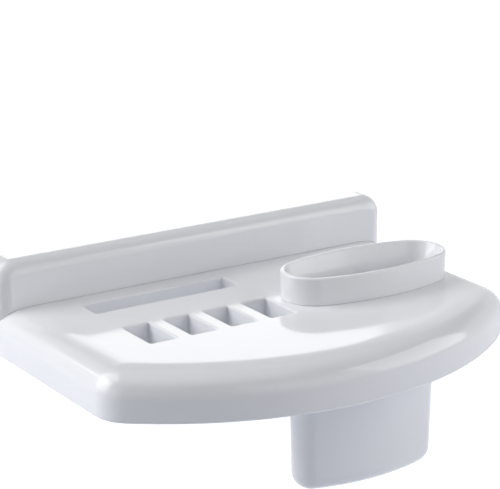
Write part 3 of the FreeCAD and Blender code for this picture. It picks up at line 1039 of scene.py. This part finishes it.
class BuildWallPlugs(bpy.types.Operator):
    """Ribbed wall plugs"""
    bl_idname = "holder.build_wall_plugs"
    bl_label = "Wall plugs"

    def execute(self, context):
        fixings = sizes().fixings
        boxes = solids_of("wall_plugs")
        low, high = boxes[0]
        radius = (high.x - low.x) / 2
        tall = high.y - low.y
        ribs = int(tall / fixings.plug_rib)
        pitch = tall / ribs
        groove = radius - fixings.plug_rib_depth
        section = [(-fixings.plug_bore, 0)]
        for rib in range(ribs):
            start = rib * pitch
            section.append((-groove, start))
            section += [(-radius, start + share * pitch) for share in RIB_CREST]
        section += [(-groove, tall), (-fixings.plug_bore, tall), (-fixings.plug_bore, 0)]
        plug = round_piece("plug", section, moulded_nylon)
        half = fixings.plug_slit / 2
        slit = block("slit", (-2 * radius, -half, tall - fixings.plug_slit_length),
                     (2 * radius, half, tall + OVERRUN))
        carve(plug, "DIFFERENCE", slit)
        plug.data.transform(Matrix.Rotation(-math.pi / 2, 4, "X"))
        places = [((low.x + high.x) / 2, low.y, (low.z + high.z) / 2) for low, high in boxes]
        piece = copies("wall_plug_pair", places, plug, moulded_nylon)
        shade(piece)
        put_in_place(piece, moulded_nylon, "wall_mount", "wall_plugs")
        return {"FINISHED"}


class BuildWallBracket(bpy.types.Operator):
    """Bent steel strip that the holder hangs on"""
    bl_idname = "holder.build_wall_bracket"
    bl_label = "Wall bracket"

    def execute(self, context):
        dress_node("wall_bracket", galvanised_sheet)
        return {"FINISHED"}


def aim(thing, place, target):
    """Stands a lamp or a camera somewhere and points it at a target."""
    thing.location = place
    thing.rotation_euler = (Vector(target) - Vector(place)).to_track_quat("-Z", "Y").to_euler()


def seen_directly(tree):
    """1 for what the camera sees, directly, mirrored or through glass, and 0 for light on the object."""
    path = add(tree, "ShaderNodeLightPath").outputs
    mirrored = add(tree, "ShaderNodeMath", {"operation": "MAXIMUM"},
                   {0: path["Is Camera Ray"], 1: path["Is Glossy Ray"]})
    return add(tree, "ShaderNodeMath", {"operation": "MAXIMUM"},
               {0: mirrored, 1: path["Is Transmission Ray"]})


class BuildStage(bpy.types.Operator):
    """Camera, floor, surroundings and soft lamps"""
    bl_idname = "holder.build_stage"
    bl_label = "Stage"

    def execute(self, context):
        scene = context.scene
        stage = sizes().stage
        finishes = sizes().finishes
        scene.view_settings.view_transform = "Standard"

        lens = bpy.data.cameras.new("camera")
        lens.sensor_width = 36
        lens.lens = stage.lens
        lens.clip_end = 100
        camera = bpy.data.objects.new("camera", lens)
        camera.location = stage.camera_place
        camera.rotation_euler = (math.pi / 2 - stage.camera_dip, 0, stage.camera_turn)
        scene.collection.objects.link(camera)
        scene.camera = camera

        bm = bmesh.new()
        bmesh.ops.create_grid(bm, x_segments=1, y_segments=1, size=stage.floor_reach)
        bmesh.ops.translate(bm, verts=bm.verts, vec=(0, 0, -stage.floor_drop))
        floor = new_piece("floor", bm)
        material, tree, place = start_material("floor_paint")
        tone = add(tree, "ShaderNodeTexNoise", None, {"Vector": place, "Scale": per_mm(300), "Detail": 2.0})
        dull = add(tree, "ShaderNodeMapRange", None, {"Value": tone, "To Min": 0.8, "To Max": 0.95})
        lit = add(tree, "ShaderNodeBsdfPrincipled", None,
                  {"Base Color": linear(finishes.floor), "Roughness": dull})
        far = add(tree, "ShaderNodeVectorMath", {"operation": "LENGTH"}, {0: place}).outputs["Value"]
        lack = add(tree, "ShaderNodeMapRange", None,
                   {"Value": far, "From Min": stage.glow_start, "From Max": stage.glow_end,
                    "To Min": stage.near_glow, "To Max": stage.far_glow})
        strength = add(tree, "ShaderNodeMath", {"operation": "MULTIPLY"}, {0: seen_directly(tree), 1: lack})
        glow = add(tree, "ShaderNodeEmission", None,
                   {"Color": linear(finishes.backdrop), "Strength": strength})
        both = add(tree, "ShaderNodeAddShader", None, {0: lit, 1: glow})
        add(tree, "ShaderNodeOutputMaterial", None, {"Surface": both})
        floor.data.materials.append(material)

        world = bpy.data.worlds.new("surround")
        scene.world = world
        world.use_nodes = True
        tree = world.node_tree
        tree.nodes.clear()
        seen = seen_directly(tree)
        tint = add(tree, "ShaderNodeMix", {"data_type": "RGBA"},
                   {"Factor": seen, "A": linear(finishes.surround), "B": linear(finishes.backdrop)})
        direction = add(tree, "ShaderNodeSeparateXYZ", None,
                        {0: add(tree, "ShaderNodeTexCoord").outputs["Object"]})
        dim = add(tree, "ShaderNodeMapRange", None,
                  {"Value": direction.outputs["Z"], "From Min": stage.ceiling_start,
                   "From Max": stage.ceiling_end, "To Min": 1.0, "To Max": stage.ceiling})
        glossy = add(tree, "ShaderNodeLightPath").outputs["Is Glossy Ray"]
        shown = add(tree, "ShaderNodeMix", {"data_type": "FLOAT"}, {"Factor": glossy, "A": 1.0, "B": dim})
        strength = add(tree, "ShaderNodeMix", {"data_type": "FLOAT"},
                       {"Factor": seen, "A": stage.surround, "B": shown})
        sky = add(tree, "ShaderNodeBackground", None, {"Color": tint, "Strength": strength})
        add(tree, "ShaderNodeOutputWorld", None, {"Surface": sky})

        middle = (cad_low + cad_high) / 2
        # Name, azimuth and elevation in degrees, width and height in metres, and power
        lamps = (
            ("left_softbox", 150, 20, 2.0, 2.0, stage.left_lamp),
            ("high_softbox", 140, 45, 2.0, 2.0, stage.high_lamp),
            ("right_softbox", 327, 20, 2.0, 2.0, stage.right_lamp),
            ("front_softbox", 282, 20, 2.0, 2.0, stage.front_lamp),
            ("back_softbox", 63, 18.5, 0.95, 0.6, stage.back_lamp),
            ("top_softbox", 255, 72, 2.0, 2.0, stage.top_lamp),
        )
        for name, turn, rise, wide, tall, watts in lamps:
            light = bpy.data.lights.new(name, "AREA")
            light.shape = "RECTANGLE"
            light.size = wide
            light.size_y = tall
            light.color = linear(finishes.lamps)[:3]
            light.energy = watts
            lamp = bpy.data.objects.new(name, light)
            level = Matrix.Rotation(math.radians(turn), 3, "Z") @ Matrix.Rotation(-math.radians(rise), 3, "Y")
            aim(lamp, middle + level @ Vector((stage.lamp_distance, 0, 0)), middle)
            scene.collection.objects.link(lamp)
        return {"FINISHED"}


BUILDERS = (BuildStage, BuildShelf, BuildBackPlate, BuildCup, BuildBaseCover, BuildScrews, BuildWallPlugs,
            BuildWallBracket)
GROUPS = (ShelfSizes, SocketSizes, PlateSizes, CupSizes, FixingSizes, Finishes, StageSizes, HolderSizes)


class HolderPanel(bpy.types.Panel):
    """Builders of the holder and the sizes that they read"""
    bl_idname = "VIEW3D_PT_holder"
    bl_label = "Wall-mounted holder"
    bl_space_type = "VIEW_3D"
    bl_region_type = "UI"
    bl_category = "Holder"

    def draw(self, context):
        for builder in BUILDERS:
            self.layout.operator(builder.bl_idname)
        for group in HolderSizes.__annotations__:
            box = self.layout.box()
            box.label(text=group.capitalize())
            held = getattr(context.scene.holder_sizes, group)
            for size in type(held).__annotations__:
                box.prop(held, size)


def register():
    for made in (*GROUPS, *BUILDERS, HolderPanel):
        bpy.utils.register_class(made)
    bpy.types.Scene.holder_sizes = PointerProperty(type=HolderSizes)


def unregister():
    del bpy.types.Scene.holder_sizes
    for made in reversed((*GROUPS, *BUILDERS, HolderPanel)):
        bpy.utils.unregister_class(made)


def main():
    register()
    bpy.ops.holder.build_stage()
    bpy.ops.holder.build_shelf()
    bpy.ops.holder.build_back_plate()
    bpy.ops.holder.build_cup()
    bpy.ops.holder.build_base_cover()
    bpy.ops.holder.build_screws()
    bpy.ops.holder.build_wall_plugs()
    bpy.ops.holder.build_wall_bracket()


if __name__ == "__main__":
    main()
